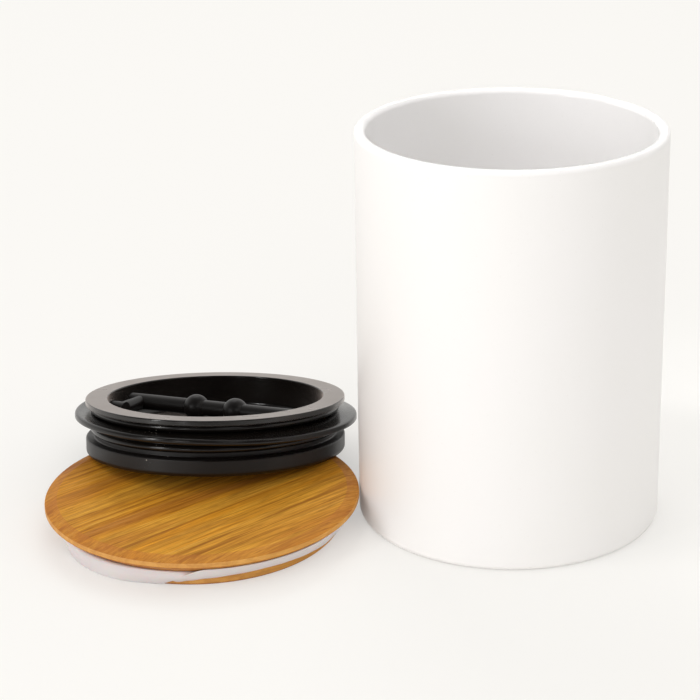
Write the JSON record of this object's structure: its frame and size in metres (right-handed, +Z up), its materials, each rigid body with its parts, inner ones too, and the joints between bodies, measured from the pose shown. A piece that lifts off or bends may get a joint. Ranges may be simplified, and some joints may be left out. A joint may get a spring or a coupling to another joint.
{
  "type": "coffee canister with valve",
  "caption": "Open ceramic coffee canister with its bevelled wooden lid and its valved press-down inner lid laid beside it.",
  "frame": {"origin": "middle of the canister's flat base, on the surface it stands on", "axes": "+Z up along the canister's axis, +X to the right and -Y towards the viewer of the picture; both lids lie on the -X side"},
  "size_m": [0.2601, 0.18, 0.1683],
  "materials": {
    "canister_glaze": "satin white glaze",
    "lid_wood": "oiled hardwood",
    "white_silicone": "soft white silicone",
    "black_gloss": "semi-gloss black moulding",
    "black_satin": "satin black moulding",
    "black_silicone": "black silicone",
    "steel": "stainless"
  },
  "bodies": {
    "canister": {"canister_body": "canister_glaze"},
    "wooden_lid": {"wood_lid": "lid_wood", "wood_lid_gasket": "white_silicone"},
    "inner_lid": {"inner_lid_tray": "black_gloss", "inner_lid_ring": "black_satin", "inner_lid_wiper": "black_silicone", "valve_spring": "steel"},
    "handle": {"inner_lid_bail": "black_satin"},
    "valve": {"valve_button": "black_gloss", "valve_seal": "black_silicone", "valve_clip": "steel"}
  },
  "joints": [
    {"name": "wooden_lid_lift", "type": "slide", "parent": "canister", "child": "wooden_lid", "axis": [0, 0, 1], "range_m": [0, 0.2]},
    {"name": "inner_lid_lift", "type": "slide", "parent": "wooden_lid", "child": "inner_lid", "axis": [0, 0, 1], "range_m": [0, 0.2]},
    {"name": "handle_fold", "type": "hinge", "parent": "inner_lid", "child": "handle", "pos_m": [-0.1363, 0.02274, 0.03159], "axis": [0.8865, -0.4542, 0.088], "range_deg": [0, 95]},
    {"name": "valve_stroke", "type": "slide", "parent": "inner_lid", "child": "valve", "axis": [0.0075, 0.2044, 0.9789], "range_m": [0, 0.0016], "deforming": ["valve_spring"]}
  ],
  "couplings": [
    {"joint": "valve_stroke", "follows": "handle_fold", "m_per_rad": 0.00096498}
  ]
}
